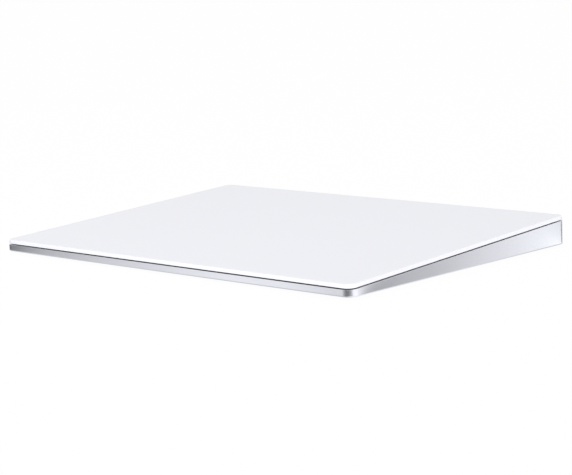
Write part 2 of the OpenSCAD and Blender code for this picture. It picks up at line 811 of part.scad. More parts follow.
// Lies on the carrier and reaches across to the edge of the board
module antenna_foil() {
  x0 = -inner_w / 2 + antenna_inset + antenna_rim;
  color("goldenrod") translate([0, 0, board_top]) linear_extrude(foil_t) {
    translate([x0, board_y1 - antenna_d + antenna_rim])
      square([-board_w / 2 - part_gap - antenna_rim - x0, antenna_d - 2 * antenna_rim]);
    translate([x0, board_y1 - antenna_d / 2 - foil_tab_w / 2])
      square([foil_tab_l - board_w / 2 - x0, foil_tab_w]);
  }
}

// Leaves its connector forward, turns up through the stiffener and lies along the sensor board
module touch_ribbon() {
  loop_y = connector_y - connector_d / 2 - touch_loop;
  end_y = (window_v1 - ribbon_margin) * cos(tilt);
  color("darkorange") translate([touch_x, 0, 0]) ribbon([
    [connector_y - connector_d / 2, ribbon_z],
    [loop_y, ribbon_z],
    [loop_y, deck_z(loop_y, stiffener_level + ribbon_t / 2)],
    [end_y, deck_z(end_y, stiffener_level + ribbon_t / 2)]
  ], touch_bend, touch_w);
}

module gel_pad(c) {
  color("lightgray") at_beam(c) translate([beam_x2, 0, -beam_level]) cylinder(d = pad_d, h = pad_t);
}

module gel_pad_front_left() { gel_pad([-1, -1]); }
module gel_pad_front_right() { gel_pad([1, -1]); }
module gel_pad_rear_left() { gel_pad([-1, 1]); }
module gel_pad_rear_right() { gel_pad([1, 1]); }

module glass_plate() {
  color("white") on_deck() translate([0, 0, -glass_t])
    slab(glass_w, glass_d, glass_t, corner_r - glass_inset, glass_low_r, glass_top_r);
}

module bonding_film() {
  color("gray") on_deck() translate([0, 0, -sensor_level])
    linear_extrude(bond_t) rounded_rect(layer_w, layer_d, layer_r);
}

module touch_sensor_board() {
  color("darkgreen") on_deck() translate([0, 0, -stiffener_level])
    linear_extrude(sensor_t) rounded_rect(layer_w, layer_d, layer_r);
}

module stiffener_plate() {
  color("silver") on_deck() translate([0, 0, -pad_level]) linear_extrude(stiffener_t) difference() {
    rounded_rect(layer_w, layer_d, layer_r);
    for (s = [0, 1], i = [0 : window_rows - 1]) mirror([s, 0])
      translate([(window_x0 + window_x1) / 2, window_v1 - window_d / 2 - i * (window_d + stiffener_rib)])
        rounded_rect(window_x1 - window_x0, window_d, window_r);
    for (c = corners)
      translate([c[0] * (beam_x0 + beam_base_l / 2), c[1] * beam_v])
        rounded_rect(beam_base_l + 2 * window_clear, beam_base_w + 2 * window_clear, window_r);
  }
}

// Bar that hangs from the stiffener in front of the magnet's poles, with a flange along its top
module armature() {
  color("slategray") difference() {
    on_deck() translate([armature_x, (core_y - core_d / 2) / cos(tilt), 0]) {
      translate([0, 0, -pad_level - back_height]) cube([armature_t, core_d, back_height]);
      translate([0, 0, -pad_level - armature_flange_t]) cube([armature_flange_w, core_d, armature_flange_t]);
    }
    below(floor_z + armature_clear);
  }
}

enclosure();
foot_front_left();
foot_front_right();
foot_rear_left();
foot_rear_right();
force_beam_front_left();
force_beam_front_right();
force_beam_rear_left();
force_beam_rear_right();
strain_gauges();
beam_screws();
actuator_core();
actuator_coils();
actuator_screws();
actuator_lead();
battery_pack();
battery_adhesive();
battery_lead();
logic_board();
main_controller();
touch_controller();
charge_controller();
haptic_driver();
radio_module();
radio_shield();
board_connectors();
board_screws();
charging_port_shell();
charging_port_tongue();
charging_port_contacts();
switch_body();
antenna_carrier();
antenna_foil();
touch_ribbon();
gel_pad_front_left();
gel_pad_front_right();
gel_pad_rear_left();
gel_pad_rear_right();
glass_plate();
bonding_film();
touch_sensor_board();
stiffener_plate();
armature();
power_slider();
on_mark();
switch_lever();
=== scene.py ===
# %% [markdown]
# # A wireless trackpad, dressed over its CAD solids
# A trackpad is a thin wedge: an aluminium tray, low in front and high behind, closed from edge to edge by
# a plate of white glass. The plate floats on four leaf springs, so a thin dark gap runs round under it.
# The CAD model already has every solid at its real size, so this lesson only adds finishes, a few formed
# pieces, soft light and a camera. It starts by loading the solids and keeping the box that they fill.

# %% Load the solids
import json
import math

import bmesh
import bpy
from mathutils import Matrix, Vector


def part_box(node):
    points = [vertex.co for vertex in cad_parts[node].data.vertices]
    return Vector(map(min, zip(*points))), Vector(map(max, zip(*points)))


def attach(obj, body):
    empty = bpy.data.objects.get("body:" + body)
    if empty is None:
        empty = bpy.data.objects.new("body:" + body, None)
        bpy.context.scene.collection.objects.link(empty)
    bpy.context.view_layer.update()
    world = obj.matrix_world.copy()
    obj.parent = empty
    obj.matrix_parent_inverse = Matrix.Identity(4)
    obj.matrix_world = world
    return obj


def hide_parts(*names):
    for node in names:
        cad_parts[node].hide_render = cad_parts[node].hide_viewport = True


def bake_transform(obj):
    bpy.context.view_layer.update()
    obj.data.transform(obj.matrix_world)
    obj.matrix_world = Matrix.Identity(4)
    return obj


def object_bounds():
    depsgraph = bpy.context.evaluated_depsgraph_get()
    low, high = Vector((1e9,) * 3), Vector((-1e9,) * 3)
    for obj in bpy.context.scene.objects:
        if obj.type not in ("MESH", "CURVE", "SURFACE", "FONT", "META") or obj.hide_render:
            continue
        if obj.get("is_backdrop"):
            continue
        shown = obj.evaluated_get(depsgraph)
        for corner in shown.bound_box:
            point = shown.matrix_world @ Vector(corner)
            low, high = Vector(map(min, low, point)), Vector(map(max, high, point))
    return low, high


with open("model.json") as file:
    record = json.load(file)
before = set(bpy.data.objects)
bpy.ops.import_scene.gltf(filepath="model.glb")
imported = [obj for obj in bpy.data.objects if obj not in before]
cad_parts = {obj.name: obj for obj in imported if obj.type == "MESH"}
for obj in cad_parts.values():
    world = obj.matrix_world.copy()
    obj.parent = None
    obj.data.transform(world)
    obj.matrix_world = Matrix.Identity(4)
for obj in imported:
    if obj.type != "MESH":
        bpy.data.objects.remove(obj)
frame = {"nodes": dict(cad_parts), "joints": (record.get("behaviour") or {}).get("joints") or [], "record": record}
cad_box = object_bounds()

MM = 0.001
HALF_WIDE, HALF_DEEP = (round(cad_box[1][axis] / MM, 3) for axis in (0, 1))
scene = bpy.context.scene
scene.view_settings.view_transform = "Standard"
print("the part is", 2 * HALF_WIDE, "mm wide and", 2 * HALF_DEEP, "mm deep")

# %% [markdown]
# ## The camera
# The photograph looks down at the near corner from the right. The angles, the distance and the lens below
# were solved from the straight edges of the tray and the glass, whose real sizes are known. A camera
# object could be turned with a Track To constraint, but writing its three axes into its matrix also gives
# the small roll.

# %% Camera
def placed(name, data):
    """A new object with this name and data, linked to the scene."""
    thing = bpy.data.objects.new(name, data)
    scene.collection.objects.link(thing)
    return thing


AZIMUTH, ELEVATION, ROLL = (math.radians(degrees) for degrees in (42.314, 9.271, -1.846))
AIM = Vector((1.0, 1.616, 4.129)) * MM
DISTANCE = 634.0 * MM
SENSOR_WIDE, LENS = 36, 114.21
NEAREST, FARTHEST = 0.01, 50

level_share = math.cos(ELEVATION)
back = Vector((math.sin(AZIMUTH) * level_share, -math.cos(AZIMUTH) * level_share, math.sin(ELEVATION)))
level = Vector((math.cos(AZIMUTH), math.sin(AZIMUTH), 0))
right = level * math.cos(ROLL) + back.cross(level) * math.sin(ROLL)
up = back.cross(right)
turn = Matrix((right, up, back)).transposed().to_4x4()

camera = placed("camera", bpy.data.cameras.new("camera"))
camera.matrix_world = Matrix.Translation(AIM + back * DISTANCE) @ turn
camera.data.sensor_width = SENSOR_WIDE
camera.data.lens = LENS
camera.data.clip_start = NEAREST
camera.data.clip_end = FARTHEST
scene.camera = camera
print("camera stands at", [round(v, 4) for v in AIM + back * DISTANCE], "with a", LENS, "mm lens")

# %% [markdown]
# ## Writing shaders as sums
# A material in Blender is a net of nodes. Adding each Math node and its links by hand is long, so a small
# class wraps an output socket: a sum or a product written in Python adds the node that works it out. The
# reflected forms are there too, so that a plain number may come first.

# %% Socket arithmetic
class Wire:
    """An output socket that can stand in a Python expression."""

    def __init__(self, net, socket):
        self.net, self.socket = net, socket

    def _math(self, operation, first, second):
        return self.net.add("ShaderNodeMath", {"operation": operation}, {0: first, 1: second})

    def __add__(self, other):
        return self._math("ADD", self, other)

    def __radd__(self, other):
        return self._math("ADD", other, self)

    def __sub__(self, other):
        return self._math("SUBTRACT", self, other)

    def __rsub__(self, other):
        return self._math("SUBTRACT", other, self)

    def __mul__(self, other):
        return self._math("MULTIPLY", self, other)

    def __rmul__(self, other):
        return self._math("MULTIPLY", other, self)


print("a wire can be added, subtracted and multiplied")

# %% [markdown]
# ## Any node in one call
# Blender's own way of adding a node takes a line for the node, one for each setting and one for each
# socket, so a finish would soon fill a page. One method does all of it here: it takes the node's type,
# then its settings, such as the stops of a colour ramp, and last what each socket gets, which is a plain
# value or a wire from another node.

# %% Net of nodes
class Net:
    """A net of nodes, empty at first."""

    def __init__(self, tree):
        self.tree = tree
        self.tree.nodes.clear()

    def add(self, kind, settings=None, sockets=None, out=0):
        """A node of this kind: its settings are set first, then its sockets are given values or wires."""
        node = self.tree.nodes.new(kind)
        for key, value in (settings or {}).items():
            if key == "stops":
                while len(node.color_ramp.elements) < len(value):
                    node.color_ramp.elements.new(1.0)
                for element, (place, grey) in zip(node.color_ramp.elements, value):
                    element.position = place
                    element.color = (grey, grey, grey, 1)
            else:
                setattr(node, key, value)
        for key, value in (sockets or {}).items():
            if isinstance(value, Wire):
                self.tree.links.new(value.socket, node.inputs[key])
            else:
                node.inputs[key].default_value = value
        return Wire(self, node.outputs[out]) if node.outputs else None


print("a net takes any node by its type, settings and sockets")

# %% [markdown]
# ## One material in the making
# Every finish below needs the same few things: a place on the piece, a noise, a mix of two colours, a
# bump and a shader at the end. Blender's own node groups could hold them, but a class keeps them in plain
# sight, and each finish is then a few lines long.

# %% Finish class
class Finish(Net):
    """One material, from its first node to its shader."""

    def __init__(self, name):
        self.material = bpy.data.materials.new(name)
        self.material.use_nodes = True
        super().__init__(self.material.node_tree)

    def place(self):
        """The place on the piece, in metres."""
        return self.add("ShaderNodeTexCoord", out="Object")

    def noise(self, size_mm, detail=2.0):
        """Soft random grey from 0 to 1, with spots about this wide."""
        sockets = {"Vector": self.place(), "Scale": 1 / (size_mm * MM), "Detail": detail}
        return self.add("ShaderNodeTexNoise", None, sockets)

    def mix(self, share, first, second):
        """A colour between two colours, each given as three numbers or a wire."""
        pair = [c if isinstance(c, Wire) else (*c, 1) for c in (first, second)]
        return self.add("ShaderNodeMix", {"data_type": "RGBA"}, {0: share, 6: pair[0], 7: pair[1]}, out=2)

    def bump(self, height, depth_mm, strength=1.0):
        """A normal that follows a height from 0 to 1, where 1 stands this high."""
        sockets = {"Height": height, "Distance": depth_mm * MM, "Strength": strength}
        return self.add("ShaderNodeBump", None, sockets)

    def surface(self, shader):
        """Joins a shader to the output and gives back the material."""
        self.add("ShaderNodeOutputMaterial", None, {"Surface": shader})
        return self.material

    def coat(self, **sockets):
        """The Principled shader with these sockets, joined to the output."""
        named = {key.replace("_", " "): value for key, value in sockets.items()}
        return self.surface(self.add("ShaderNodeBsdfPrincipled", None, named))


print("a finish knows its place, noise, mix, bump and coat")

# %% [markdown]
# ## Blasted aluminium
# The tray is machined from aluminium, blasted with fine beads and anodised. Up close that is a field of
# tiny dimples that spread each reflection into a soft sheen. Real dimples would take millions of faces,
# so bump from a fine noise gives them, and a second noise moves the tone and the roughness a little, as
# handling does. The slider's guide, which hides behind the rear wall, gets painted shade: its colour is
# made dark, and a test on Y tells it from the thumb.

# %% Aluminium of the tray and the slider
PALE_METAL = ((0.79, 0.802, 0.86), (0.825, 0.837, 0.895))
# The second pair of tones is painted shade, for the slider's guide behind the rear wall.
PAINTED_SHADE_METAL = ((0.05, 0.05, 0.055), (0.065, 0.065, 0.07))
DIMPLE_WIDE, DIMPLE_DEEP, HANDLED_WIDE = 0.09, 0.004, 14.0


def blasted_aluminium(name, roughness, shade_before_mm=None):
    """Blasted metal. What lies in front of a given Y gets painted shade: its colour is made dark."""
    f = Finish(name)
    dimples = f.noise(DIMPLE_WIDE, detail=3.0)
    cloud = f.noise(HANDLED_WIDE)
    tone = f.mix(cloud, *PALE_METAL)
    # Painted shade: the part of the slider behind the rear wall's inner face is coloured dark.
    if shade_before_mm is not None:
        y = f.add("ShaderNodeSeparateXYZ", None, {0: f.place()}, out="Y")
        shade_mask = f.add("ShaderNodeMath", {"operation": "LESS_THAN"}, {0: y, 1: shade_before_mm * MM})
        tone = f.mix(shade_mask, tone, f.mix(cloud, *PAINTED_SHADE_METAL))
    return f.coat(Base_Color=tone, Metallic=1.0, Roughness=roughness + dimples * 0.08 + cloud * 0.03,
                  Normal=f.bump(dimples, DIMPLE_DEEP, strength=0.35))


WALL, BEHIND_WALL = 1.5, 0.05
guide_face = HALF_DEEP - WALL - BEHIND_WALL
finishes = {}
finishes["tray_aluminium"] = blasted_aluminium("blasted_aluminium", 0.24)
finishes["slider_aluminium"] = blasted_aluminium("slider_aluminium", 0.26, shade_before_mm=guide_face)
print("aluminium finishes:", sorted(finishes), "and the guide ends at Y", round(guide_face, 2), "mm")

# %% [markdown]
# ## White glass
# The touch plate is glass with white ink behind it, and its face is etched to a satin, so that a finger
# glides on it. A clear pane over a white sheet could be modelled, but hardly any of its depth would show,
# so one dense white shader with a low sheen is enough. A very fine bump is the etching, and slow changes
# in roughness are the faint marks of use.

# %% Glass of the touch plate
ETCH_WIDE, ETCH_DEEP, SMEAR_WIDE = 0.05, 0.0008, 35.0

f = Finish("white_glass")
etch = f.noise(ETCH_WIDE)
smear = f.noise(SMEAR_WIDE)
white = f.mix(smear, (0.805, 0.812, 0.862), (0.82, 0.827, 0.876))
finishes["white_glass"] = f.coat(Base_Color=white, Roughness=0.30 + etch * 0.05 + smear * 0.04, IOR=1.5,
                                 Normal=f.bump(etch, ETCH_DEEP, strength=0.3))
print("glass finish made, etched in spots of", ETCH_WIDE, "mm")

# %% [markdown]
# ## Rubber, gel and moulded plastic
# The feet are white rubber with a fine matt skin, the gel pads under the plate are clearer and shinier,
# and the small moulded pieces have the skin of their mould. They differ in colour, sheen and grain, so
# one function makes them all.

# %% Rubber and plastic
TONE_PER_GRAIN = 30


def moulded(name, dark, light, roughness, grain_mm=0.12, depth_mm=0.006, **more):
    """A moulded skin: fine grain in bump and sheen, over a slow change between two tones."""
    f = Finish(name)
    grain = f.noise(grain_mm, detail=3.0)
    tone = f.mix(f.noise(grain_mm * TONE_PER_GRAIN), dark, light)
    return f.coat(Base_Color=tone, Roughness=roughness + grain * 0.1,
                  Normal=f.bump(grain, depth_mm, 0.4), **more)


MOULDED = {
    "foot_rubber": ((0.70, 0.705, 0.715), (0.76, 0.765, 0.775), 0.62, 0.2, 0.012),
    "chip_black": ((0.012, 0.012, 0.014), (0.022, 0.022, 0.025), 0.48, 0.08),
    "connector_ivory": ((0.66, 0.60, 0.46), (0.72, 0.67, 0.54), 0.4),
    "carrier_grey": ((0.065, 0.066, 0.07), (0.085, 0.086, 0.09), 0.45),
    "mark_green": ((0.015, 0.36, 0.035), (0.025, 0.42, 0.05), 0.3, 0.1, 0.002),
    "adhesive_film": ((0.03, 0.03, 0.032), (0.045, 0.045, 0.048), 0.35, 0.3, 0.004)}
for name, recipe in MOULDED.items():
    finishes[name] = moulded(name, *recipe)
finishes["gel"] = moulded("pad_gel", (0.50, 0.52, 0.55), (0.60, 0.62, 0.65), 0.25, 0.5, 0.01, IOR=1.41)
print("moulded finishes added, now", len(finishes))

# %% [markdown]
# ## Plain metals inside
# The springs are rolled steel, with fine lines along the roll; screws and the socket's shell are plated;
# the core of the electromagnet is a stack of thin sheets. A picture of brushed metal could be laid on
# them, but a noise that is stretched along one axis draws such lines at any size, and the same lines feed
# colour, roughness and bump.

# %% Steel, copper and gold
def drawn_metal(name, dark, light, roughness, stretch, line_mm=0.05, depth_mm=0.002):
    """Metal with lines: stretch says how much longer a line is along X, Y and Z."""
    f = Finish(name)
    shrink = tuple(1 / longer for longer in stretch)
    squeezed = f.add("ShaderNodeVectorMath", {"operation": "MULTIPLY"}, {0: f.place(), 1: shrink})
    sockets = {"Vector": squeezed, "Scale": 1 / (line_mm * MM), "Detail": 2.0}
    lines = f.add("ShaderNodeTexNoise", None, sockets)
    return f.coat(Base_Color=f.mix(lines, dark, light), Metallic=1.0, Roughness=roughness + lines * 0.12,
                  Normal=f.bump(lines, depth_mm, 0.4))


DRAWN = {
    "spring_steel": ((0.38, 0.39, 0.41), (0.47, 0.48, 0.50), 0.26, (40, 1, 1)),
    "screw_steel": ((0.15, 0.155, 0.165), (0.20, 0.205, 0.215), 0.28, (1, 1, 8)),
    "core_steel": ((0.09, 0.093, 0.10), (0.15, 0.153, 0.165), 0.36, (60, 60, 1), 0.35),
    "coil_copper": ((0.40, 0.13, 0.035), (0.58, 0.22, 0.07), 0.25, (60, 60, 1), 0.22, 0.02),
    "shield_steel": ((0.46, 0.46, 0.475), (0.53, 0.53, 0.545), 0.3, (25, 1, 1)),
    "socket_steel": ((0.33, 0.335, 0.35), (0.40, 0.405, 0.42), 0.22, (1, 30, 1)),
    "contact_gold": ((0.60, 0.36, 0.05), (0.70, 0.44, 0.075), 0.2, (1, 20, 1))}
for name, recipe in DRAWN.items():
    finishes[name] = drawn_metal(name, *recipe)
print("metal finishes added, now", len(finishes))

# %% [markdown]
# ## Boards and ribbons
# The ribbons are amber film with copper tracks, and the boards are green lacquer over the same copper.
# The tracks could be drawn one by one, but at this size a pattern reads as well: bricks laid in long rows
# are the tracks, and the joints between them are the bare film or lacquer.

# %% Boards and ribbons
TRACKS = {"Mortar Size": 0.09, "Brick Width": 9.0, "Row Height": 0.55}
ROW_SHIFT, FILM_STEP, SHEEN_SPOT = 0.37, 0.01, 0.6


def tracked_film(name, film, track, pitch_mm, roughness):
    """Film or lacquer with rows of tracks, and a small step between the two."""
    f = Finish(name)
    sockets = {"Vector": f.place(), "Scale": 1 / (pitch_mm * MM), **TRACKS}
    rows = f.add("ShaderNodeTexBrick", {"offset": ROW_SHIFT}, sockets, out="Fac")
    return f.coat(Base_Color=f.mix(rows, track, film), Roughness=roughness + f.noise(SHEEN_SPOT) * 0.08,
                  Normal=f.bump(rows, FILM_STEP, 0.25))


AMBER, COPPER = (0.50, 0.20, 0.018), (0.62, 0.29, 0.04)
LACQUER, UNDER_LACQUER = (0.004, 0.042, 0.016), (0.010, 0.085, 0.034)
finishes["ribbon_film"] = tracked_film("ribbon_film", AMBER, COPPER, 0.9, 0.3)
finishes["circuit_board"] = tracked_film("circuit_board", LACQUER, UNDER_LACQUER, 1.6, 0.33)
print("board and ribbon finishes added, now", len(finishes))

# %% [markdown]
# ## Foil of the battery
# The battery is a soft pouch of dark foil, and handling leaves creases and an uneven shine on it. The
# creases could be modelled, but they are only about a tenth of a millimetre deep, so one coarse noise
# gives them to the roughness and the bump, and paints shade into the colour: darker in the creases and
# lighter on their ridges.

# %% Battery foil
CREASE_WIDE, CREASE_DEEP = 6.0, 0.15
f = Finish("battery_foil")
creases = f.noise(CREASE_WIDE, detail=4.0)
# Painted shade: the colour follows the creases, darker in their hollows and lighter on their ridges.
foil_and_crease_shade = f.mix(creases, (0.052, 0.052, 0.058), (0.08, 0.08, 0.088))
finishes["battery_foil"] = f.coat(Base_Color=foil_and_crease_shade, Metallic=0.6, Roughness=0.34 + creases * 0.12,
                                  Normal=f.bump(creases, CREASE_DEEP, 0.4))
print("finishes in all:", len(finishes))

# %% [markdown]
# ## Dressing the solids
# Each solid of the CAD model names the finish slot of its record, so the finishes made above can be given
# to all of them in one loop. The mesh itself is never touched: only its material slots change.

# %% Give every solid its finish
slot_of = {row["node"]: row["material_slot"] for row in frame["record"]["subparts"]}


def dress(piece, node):
    """The piece takes the finish of this solid's slot."""
    piece.data.materials.clear()
    piece.data.materials.append(finishes[slot_of[node]])


for name, solid in frame["nodes"].items():
    dress(solid, name)
print("dressed", len(slot_of), "solids in", len(set(slot_of.values())), "finishes")

# %% [markdown]
# ## Broken edges
# No machined or moulded edge is truly sharp: it is tumbled, brushed or left with a small round, and that
# round catches a thin line of light or shade. The round could be cut into every solid, but modifiers do
# it here and leave the mesh of the solid as it was: a Weld closes the seams, a planar Decimate takes out
# the lines across flat faces, and a Bevel then rounds each edge where two faces meet at a steep angle.

# %% Edge breaks
SEAM_GAP, FLAT_TURN, STEEP_TURN, ROUND_STEPS = 0.001 * MM, math.radians(0.3), math.radians(40), 3
EDGE_BREAKS = {
    0.12: ("armature", "antenna_carrier"),
    0.08: ("enclosure",),
    0.06: ("power_slider", "charging_port_tongue", "board_connectors", "radio_shield", "radio_module",
           "switch_body", "switch_lever", "main_controller", "touch_controller", "charge_controller",
           "haptic_driver", "stiffener_plate", "beam_screws", "board_screws", "actuator_screws"),
    0.05: ("actuator_core",),
    0.03: ("charging_port_shell", "logic_board")}


def break_edges(solid, width_mm):
    """Rounds the steep edges of a solid with modifiers."""
    solid.modifiers.new("weld", "WELD").merge_threshold = SEAM_GAP
    whole = solid.modifiers.new("whole_faces", "DECIMATE")
    whole.decimate_type = "DISSOLVE"
    whole.angle_limit = FLAT_TURN
    round_off = solid.modifiers.new("edge_break", "BEVEL")
    round_off.width = width_mm * MM
    round_off.segments = ROUND_STEPS
    round_off.use_clamp_overlap = False
    round_off.limit_method = "ANGLE"
    round_off.angle_limit = STEEP_TURN
    solid.modifiers.new("even_shading", "WEIGHTED_NORMAL").keep_sharp = True


for width_mm, names in EDGE_BREAKS.items():
    for name in names:
        break_edges(frame["nodes"][name], width_mm)
print("edges broken on", sum(len(names) for names in EDGE_BREAKS.values()), "solids")

# %% [markdown]
# ## Shapes drawn over rings
# Several pieces inside the tray are soft or wound, and look wrong as plain blocks. Sculpting or a
# subdivided cage could shape them, but all of them can be drawn as a skin over rings of points, the way a
# hull is drawn over its frames, and each ring then follows a rule that can be read.

# %% Skin helper
SAME_POINT, SHARP_TURN = 1e-7, math.radians(35)


def finished_piece(name, mesh):
    """The mesh as a piece: outward faces, and smooth shading up to the sharp edges."""
    work = bmesh.new()
    work.from_mesh(mesh)
    bmesh.ops.remove_doubles(work, verts=work.verts, dist=SAME_POINT)
    bmesh.ops.recalc_face_normals(work, faces=work.faces)
    work.to_mesh(mesh)
    work.free()
    mesh.shade_smooth()
    mesh.set_sharp_from_angle(angle=SHARP_TURN)
    return placed(name, mesh)


def skin(name, rings, hollow=False):
    """A closed mesh over rings of points in millimetres. A hollow one joins its last ring to its first."""
    count, turns = len(rings[0]), len(rings)
    faces = []
    for r in range(turns if hollow else turns - 1):
        low, high = r * count, (r + 1) % turns * count
        faces += [(low + i, low + (i + 1) % count, high + (i + 1) % count, high + i) for i in range(count)]
    if not hollow:
        faces += [tuple(reversed(range(count))), tuple(range((turns - 1) * count, turns * count))]
    mesh = bpy.data.meshes.new(name)
    mesh.from_pydata([tuple(c * MM for c in p) for ring in rings for p in ring], [], faces)
    return finished_piece(name, mesh)


print("a skin can be drawn over rings, with edges sharp from", round(math.degrees(SHARP_TURN)), "degrees")

# %% [markdown]
# ## Fitting a piece in the place of its solid
# A formed piece takes the place of a plain solid, so it needs that solid's size, its finish and its body,
# and the solid is hidden. The size could be typed in again, but it is read from the solid's box, so the
# piece fits whatever the CAD model says.

# %% Fitting helpers
def box_mm(node):
    """The lowest and the highest corner of a solid, in millimetres."""
    low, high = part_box(node)
    return low / MM, high / MM


def fitted(piece, node, body=None):
    """The piece stands for this solid, wears its finish and, if a body is named, moves with it."""
    dress(piece, node)
    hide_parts(node)
    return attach(piece, body) if body else piece


press = next(joint for joint in frame["joints"] if joint["name"] == "plate_press")
print("the plate is pressed along", [round(v, 4) for v in press["axis"]])

# %% [markdown]
# ## Gel pads
# The plate stands on four discs of soft gel at the tips of the springs. The weight above presses them, so
# their sides swell out between two flat faces. Rings of growing and shrinking radius, stacked along the
# line of the press, give that bulge; a bevelled cylinder would have a straight side.

# %% Gel pads
CORNERS = ("front_left", "front_right", "rear_left", "rear_right")
SWELL, PAD_RINGS, PAD_POINTS = 0.07, 13, 64
down =Vector(press["axis"]).normalized()
lean = math.asin(down.y)
round_once = [math.tau * i / PAD_POINTS for i in range(PAD_POINTS)]
across, slope = Vector((1, 0, 0)), Vector((0, math.cos(lean), math.sin(lean)))

for corner in CORNERS:
    node = "gel_pad_" + corner
    low, high = box_mm(node)
    middle, radius = (low + high) / 2, (high.x - low.x) / 2
    half = ((high.z - low.z) - 2 * radius * math.sin(lean)) / math.cos(lean) / 2
    rings = []
    for step in range(PAD_RINGS):
        rise = math.pi * (step / (PAD_RINGS - 1) - 0.5)
        wide = radius * (1 - SWELL + SWELL * math.cos(rise))
        heart = middle - down * half * math.sin(rise)
        rings.append([heart + wide * (across * math.cos(a) + slope * math.sin(a)) for a in round_once])
    fitted(skin("swollen_" + node, rings), node, "suspension")
print("four gel pads,", round(2 * radius, 2), "mm wide and", round(2 * half, 2), "mm thick")

# %% [markdown]
# ## Cutting a piece so that it can bend
# Springs, gauges and ribbon bend when the plate is pressed. A mesh bends only where it has points, and a
# solid has none between its ends. Subdividing it would add points in both directions. Planes that cut a
# copy across add them just where the bend runs, and the solid stays as it was.

# %% Slicing helper
NEAR_POINT, FLAT_FACE = 0.001 * MM, 0.01


def sliced(name, node, cuts, axis, keep=None):
    """A copy of a solid's mesh, or of the part of it that keep chooses, cut by planes square to an axis."""
    mesh = frame["nodes"][node].data.copy()
    mesh.name = name
    work = bmesh.new()
    work.from_mesh(mesh)
    bmesh.ops.remove_doubles(work, verts=work.verts, dist=NEAR_POINT)
    bmesh.ops.dissolve_limit(work, angle_limit=FLAT_FACE, verts=work.verts, edges=work.edges)
    if keep:
        bmesh.ops.delete(work, geom=[v for v in work.verts if not keep(v.co)], context="VERTS")
    for cut in cuts:
        bmesh.ops.bisect_plane(work, geom=work.verts[:] + work.edges[:] + work.faces[:],
                               plane_co=Vector(axis) * cut * MM, plane_no=axis)
    work.to_mesh(mesh)
    work.free()
    return finished_piece(name, mesh)


print("a copy of a solid can be cut across, for a bend")

# %% [markdown]
# ## Springs cut for a bend
# Each spring is a steel tongue: one end is screwed to the tray and the other carries a pad, so under a
# press the tongue bends. A rigid solid can't show that. A copy of its mesh is cut across many times,
# where the bend would run, and so is the strain gauge that is glued on its waist.

# %% Springs and gauges cut for a bend
CLAMP, SLICES, GAUGE_REACH = 10.0, 24, 15 * MM
for corner in CORNERS:
    beam = "force_beam_" + corner
    side = -1 if corner.endswith("left") else 1
    low, high = box_mm(beam)
    pad_low, pad_high = box_mm("gel_pad_" + corner)
    root = min(abs(low.x), abs(high.x)) + CLAMP
    held = min(abs(pad_low.x), abs(pad_high.x))
    cuts = [side * (root + (held - root) * i / SLICES) for i in range(SLICES + 1)]
    middle = (low + high) / 2 * MM
    spring = sliced("bending_spring_" + corner, beam, cuts, (1, 0, 0))
    gauge = sliced("bending_gauge_" + corner, "strain_gauges", cuts, (1, 0, 0),
                   keep=lambda point: (point - middle).length < GAUGE_REACH)
    for piece, node in ((spring, beam), (gauge, "strain_gauges")):
        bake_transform(fitted(piece, node))
print("springs bend over", round(held - root, 2), "mm, in", SLICES, "slices")

# %% [markdown]
# ## The ribbon to the sensor
# A flat ribbon of film leads from the logic board up to the sensor under the plate, and gives a little
# each time the plate is pressed. It is cut in the same way as the springs, but along its height.

# %% Ribbon cut for a bend
RIBBON_SLICE, RIBBON_CUTS, FOOT_HELD, HEAD_HELD = 0.2, 23, 0.3, 0.6
low, high = box_mm("touch_ribbon")
middle_y = (low.y + high.y) / 2
cuts = [low.z + RIBBON_SLICE * (i + 1) for i in range(RIBBON_CUTS)]
ribbon = fitted(sliced("bending_ribbon", "touch_ribbon", cuts, (0, 0, 1)), "touch_ribbon")
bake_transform(ribbon)
print("the ribbon rises", round(high.z - low.z, 2), "mm to the sensor")

# %% [markdown]
# ## Wound coils
# The electromagnet has three coils of enamelled wire. A bump on a smooth block would vanish up close, so
# the turns are real: the outline of a coil is drawn over and over along its leg, and a half-round swell
# that moves on by one wire for each time round makes it one long screw of wire.

# %% Outline helper and the coils' sizes
def rounded_outline(wide, high, r, arc=9):
    """Points round a rectangle with round corners, each with its outward direction."""
    points = []
    for quarter, (sx, sy) in enumerate(((1, 1), (-1, 1), (-1, -1), (1, -1))):
        for i in range(arc):
            a = math.pi / 2 * (quarter + i / (arc - 1))
            points.append((sx * (wide / 2 - r) + r * math.cos(a), sy * (high / 2 - r) + r * math.sin(a),
                           math.cos(a), math.sin(a)))
    return points


LEG_WIDE, LEG_CLEAR = 4.0, 0.05
COIL_ROUND, BORE_ROUND = 0.35, 0.02
low, high = box_mm("actuator_coils")
core_low, core_high = box_mm("actuator_core")
coil_high = high.z - low.z
coil_wide = (high.y - low.y) - (core_high.y - core_low.y) + LEG_WIDE
bore_high = core_high.z - core_low.z + 2 * LEG_CLEAR
bore_wide = LEG_WIDE + 2 * LEG_CLEAR
outline = rounded_outline(coil_wide, coil_high, COIL_ROUND)
bore = rounded_outline(bore_wide, bore_high, BORE_ROUND)
print("a coil is", round(coil_wide, 2), "x", round(coil_high, 2), "mm, its bore", round(bore_wide, 2), "x",
      round(bore_high, 2), "mm")

# %% Coils with turns
WIRE, WIRE_STEPS, GROOVE, COILS = 0.3, 6, 0.7, 3
turns = round((high.x - low.x) / WIRE)
middle_z = (low.z + high.z) / 2
pitch = (high.y - low.y - coil_wide) / (COILS - 1)
last = turns * WIRE_STEPS


def sunk(step, share):
    """How deep the wire's surface lies here: least on top of a turn, most between turns and at the ends."""
    if not 0 < step < last:
        return GROOVE * WIRE / 2
    off = ((step / WIRE_STEPS + share) % 1 - 0.5) * WIRE
    return GROOVE * (WIRE / 2 - math.sqrt(max(WIRE ** 2 / 4 - off ** 2, 0)))


